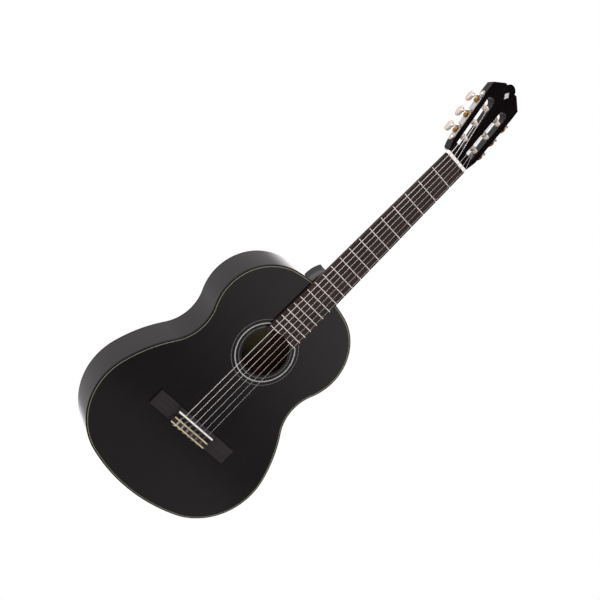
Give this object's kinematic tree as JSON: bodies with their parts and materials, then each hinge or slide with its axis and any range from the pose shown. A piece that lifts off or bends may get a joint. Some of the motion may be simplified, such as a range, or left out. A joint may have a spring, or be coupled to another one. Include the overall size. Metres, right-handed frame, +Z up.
{
  "type": "classical guitar",
  "caption": "Classical guitar with hollow waisted body, round soundhole, tie bridge, fretted neck and slotted head with worm-geared tuners.",
  "frame": {"origin": "the tail edge of the body, on the centre line of the soundboard's front face", "axes": "+Z up the neck to the head, +Y from the soundboard to the back, +X to the treble side"},
  "size_m": [0.3754, 0.1092, 0.9978],
  "materials": {
    "black_lacquer": "high gloss black lacquer over wood",
    "black_binding": "polished",
    "pale_purfling": "polished under lacquer",
    "rosette_silver": "polished under lacquer",
    "brace_wood": "raw spruce, sanded",
    "lining_wood": "raw, sawn",
    "block_wood": "raw, sanded",
    "paper_label": "plain paper",
    "rosewood": "oiled satin",
    "fret_metal": "polished nickel silver",
    "white_bone": "polished",
    "pearl_inlay": "polished",
    "bridge_wood": "satin charcoal stain",
    "tie_gold": "polished",
    "wound_string": "silver-plated winding",
    "nylon_string": "clear nylon",
    "nickel": "polished nickel",
    "roller_plastic": "moulded",
    "gear_brass": "machined",
    "button_pearl": "pearloid"
  },
  "bodies": {
    "guitar": {"soundboard": "black_lacquer", "back": "black_lacquer", "bass_rib": "black_lacquer", "treble_rib": "black_lacquer", "linings": "lining_wood", "binding": "black_binding", "purfling": "pale_purfling", "rosette": "rosette_silver", "fan_braces": "brace_wood", "cross_bars": "brace_wood", "back_braces": "brace_wood", "neck_block": "block_wood", "tail_block": "block_wood", "label": "paper_label", "neck": "black_lacquer", "headstock": "black_lacquer", "head_veneer": "black_lacquer", "heel_cap": "black_binding", "fingerboard": "rosewood", "frets": "fret_metal", "nut": "white_bone", "head_inlay": "pearl_inlay", "bridge": "bridge_wood", "saddle": "white_bone", "tie_strips": "tie_gold", "string_6": "wound_string", "string_5": "wound_string", "string_4": "wound_string", "string_3": "nylon_string", "string_2": "nylon_string", "string_1": "nylon_string", "bass_plate": "nickel", "treble_plate": "nickel", "plate_screws": "nickel"},
    "roller_6": {"roller_6": "roller_plastic", "gear_6": "gear_brass"},
    "button_6": {"worm_6": "nickel", "button_6": "button_pearl"},
    "roller_5": {"roller_5": "roller_plastic", "gear_5": "gear_brass"},
    "button_5": {"worm_5": "nickel", "button_5": "button_pearl"},
    "roller_4": {"roller_4": "roller_plastic", "gear_4": "gear_brass"},
    "button_4": {"worm_4": "nickel", "button_4": "button_pearl"},
    "roller_3": {"roller_3": "roller_plastic", "gear_3": "gear_brass"},
    "button_3": {"worm_3": "nickel", "button_3": "button_pearl"},
    "roller_2": {"roller_2": "roller_plastic", "gear_2": "gear_brass"},
    "button_2": {"worm_2": "nickel", "button_2": "button_pearl"},
    "roller_1": {"roller_1": "roller_plastic", "gear_1": "gear_brass"},
    "button_1": {"worm_1": "nickel", "button_1": "button_pearl"}
  },
  "joints": [
    {"name": "roller_6_turn", "type": "hinge", "parent": "guitar", "child": "roller_6", "pos_m": [-0.0335, 0.01504, 0.86052], "axis": [-0.9988, -0.0129, -0.0482], "continuous": true},
    {"name": "button_6_turn", "type": "hinge", "parent": "guitar", "child": "button_6", "pos_m": [-0.03731, 0.01714, 0.86837], "axis": [0, 0.9659, -0.2588], "continuous": true},
    {"name": "roller_5_turn", "type": "hinge", "parent": "guitar", "child": "roller_5", "pos_m": [-0.03525, 0.02408, 0.89429], "axis": [-0.9988, -0.0129, -0.0482], "continuous": true},
    {"name": "button_5_turn", "type": "hinge", "parent": "guitar", "child": "button_5", "pos_m": [-0.03906, 0.02619, 0.90213], "axis": [0, 0.9659, -0.2588], "continuous": true},
    {"name": "roller_4_turn", "type": "hinge", "parent": "guitar", "child": "roller_4", "pos_m": [-0.037, 0.03313, 0.92805], "axis": [-0.9988, -0.0129, -0.0482], "continuous": true},
    {"name": "button_4_turn", "type": "hinge", "parent": "guitar", "child": "button_4", "pos_m": [-0.04081, 0.03523, 0.9359], "axis": [0, 0.9659, -0.2588], "continuous": true},
    {"name": "roller_3_turn", "type": "hinge", "parent": "guitar", "child": "roller_3", "pos_m": [0.037, 0.03313, 0.92805], "axis": [0.9988, -0.0129, -0.0482], "continuous": true},
    {"name": "button_3_turn", "type": "hinge", "parent": "guitar", "child": "button_3", "pos_m": [0.04081, 0.03523, 0.9359], "axis": [0, 0.9659, -0.2588], "continuous": true},
    {"name": "roller_2_turn", "type": "hinge", "parent": "guitar", "child": "roller_2", "pos_m": [0.03525, 0.02408, 0.89429], "axis": [0.9988, -0.0129, -0.0482], "continuous": true},
    {"name": "button_2_turn", "type": "hinge", "parent": "guitar", "child": "button_2", "pos_m": [0.03906, 0.02619, 0.90213], "axis": [0, 0.9659, -0.2588], "continuous": true},
    {"name": "roller_1_turn", "type": "hinge", "parent": "guitar", "child": "roller_1", "pos_m": [0.0335, 0.01504, 0.86052], "axis": [0.9988, -0.0129, -0.0482], "continuous": true},
    {"name": "button_1_turn", "type": "hinge", "parent": "guitar", "child": "button_1", "pos_m": [0.03731, 0.01714, 0.86837], "axis": [0, 0.9659, -0.2588], "continuous": true}
  ],
  "couplings": [
    {"joint": "button_6_turn", "follows": "roller_6_turn", "ratio": 14},
    {"joint": "button_5_turn", "follows": "roller_5_turn", "ratio": 14},
    {"joint": "button_4_turn", "follows": "roller_4_turn", "ratio": 14},
    {"joint": "button_3_turn", "follows": "roller_3_turn", "ratio": 14},
    {"joint": "button_2_turn", "follows": "roller_2_turn", "ratio": 14},
    {"joint": "button_1_turn", "follows": "roller_1_turn", "ratio": 14}
  ]
}
